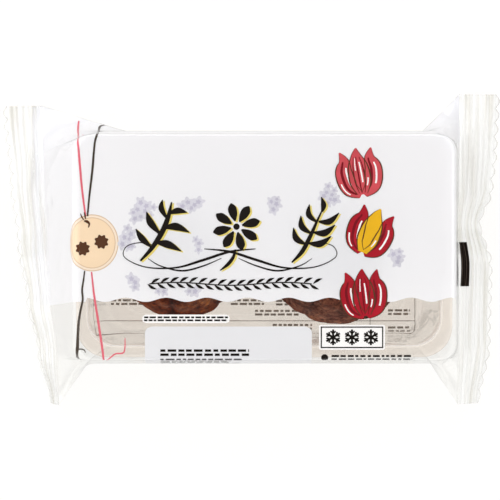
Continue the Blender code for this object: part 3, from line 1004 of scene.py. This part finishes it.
# Where words stand in the table: from, to, and place across the base
TABLE_WORDS = (
    (-56.3, -43.8, -19.2), (-12.1, 0.1, -19.2), (4.5, 8.9, -19.4), (-3.2, 13.3, -23.1),
    (45.8, 53.9, -22.9), (3.3, 17.8, -28.3), (45.8, 53.9, -29.2), (-60.7, -24.7, -14.0),
    (-18.7, 35.3, -14.0), (41.3, 52.3, -13.8), (-60.7, 25.3, -9.2), (-60.7, 7.3, -6.8),
)
TABLE_LINE = 0.25
FIN_FROM = -2 * MM
FIN_WIDTH = 10 * MM
FIN_FALL = 0.25 * MM
FIN_RIBS = 6
FIN_RIB = 0.04 * MM
FIN_ROWS = 36


def beneath(y):
    """The place across the film of a place under the base, in mm."""
    s = y - TRAY_Y / MM
    return copysign(2 * FOLD / MM - abs(s), s)


def fin_place(a, b):
    """A point of the fin, which hangs under the bottom sheet from cut to cut. Its UV is that of a seal."""
    s = FIN_FROM + b * FIN_WIDTH
    across = copysign(2 * FOLD - abs(s), s)
    along = film_row(round(a * FILM_ROWS), across)
    fall = FIN_FALL * smooth(b * 8) + FIN_RIB * sin(tau * FIN_RIBS * b)
    return under_film(along, across, -fall), (b * FIN_WIDTH, along)


fin = start_piece("fin_seam", CLEAR_FILM)
lay_grid(FILM_ROWS, FIN_ROWS, fin_place)
finish_piece(fin)

with printed("underside_table", gravure_ink("grey table ink", "#7d766f", mottle=0.15, through=0.3)):
    half = TABLE_LINE / 2
    for across in map(beneath, TABLE_RULES):
        panel(TABLE_LEFT, TABLE_RIGHT, across - half, across + half, COLOUR_DEPTH, columns=60, rows=1)
    ends = sorted((beneath(TABLE_FOOT), beneath(TABLE_TOP)))
    for along in (TABLE_LEFT, TABLE_COLUMN, TABLE_RIGHT):
        panel(along - half, along + half, *ends, COLOUR_DEPTH, columns=1, rows=40)
    for number, (left, right, y) in enumerate(TABLE_WORDS):
        words(left, right, beneath(y), 2.3, 40 + number)

# The studio. A sheet of white paper for a floor, a world that is brightest well up its walls, four
# soft lights round the pack, and the camera straight above it, as in the photograph.
FLOOR_SIZE = 4.0
CAMERA_HEIGHT = 0.95
SEAL_LEVEL = 0.022
PICTURE_WIDTH = 180 * MM  # what the picture takes in at the seals' height
CAMERA_X = -0.36 * MM

bpy.ops.mesh.primitive_plane_add(size=FLOOR_SIZE, location=(0, 0, -0.0002))
floor = bpy.context.object
floor.name = "floor"
floor_paper = new_material("white background paper")
paper = add_node(floor_paper, "BsdfPrincipled", Base_Color=linear("#5c5c5c"), Roughness=0.9,
                 Emission_Color=linear("#fffefc"), Emission_Strength=0.89)
add_node(floor_paper, "OutputMaterial", Surface=paper)
floor.data.materials.append(floor_paper)

world = bpy.data.worlds.new("studio")
bpy.context.scene.world = world
world.use_nodes = True
background = world.node_tree.nodes["Background"]
background.inputs["Strength"].default_value = 1.19
towards = add_node(world, "SeparateXYZ", _0=add_node(world, "TexCoord").outputs["Generated"])
# Dark at the top, where the camera looks through the roof
glow = add_node(world, "ValToRGB", _0=towards.outputs["Z"])
stops = glow.color_ramp.elements
stops[0].position, stops[0].color = 0.0, (0.43, 0.43, 0.43, 1)
stops[1].position, stops[1].color = 0.92, (0.03, 0.03, 0.03, 1)
for position in (0.55, 0.72):
    stops.new(position).color = (1.0, 1.0, 1.0, 1)
world.node_tree.links.new(glow.outputs[0], background.inputs["Color"])


def softbox(name, place, size, power):
    """A square soft light that faces the pack."""
    bpy.ops.object.light_add(type="AREA", location=place)
    light = bpy.context.object
    light.name = name
    light.data.size = size
    light.data.energy = power
    light.rotation_euler = (-Vector(place)).to_track_quat("-Z", "Y").to_euler()


softbox("left_light", (-1.3, 0.1, 1.2), 2.0, 11.4)
softbox("right_light", (1.1, -0.1, 1.4), 1.8, 3.4)
softbox("back_light", (0.1, 1.3, 1.2), 2.0, 12.5)
softbox("front_light", (-0.1, -1.3, 1.2), 2.0, 6.0)

bpy.ops.object.camera_add(location=(CAMERA_X, 0, CAMERA_HEIGHT), rotation=(0, 0, 0))
camera = bpy.context.object
camera.data.lens = camera.data.sensor_width * (CAMERA_HEIGHT - SEAL_LEVEL) / PICTURE_WIDTH
camera.data.clip_start = 0.01
bpy.context.scene.camera = camera
bpy.context.scene.view_settings.view_transform = "Standard"
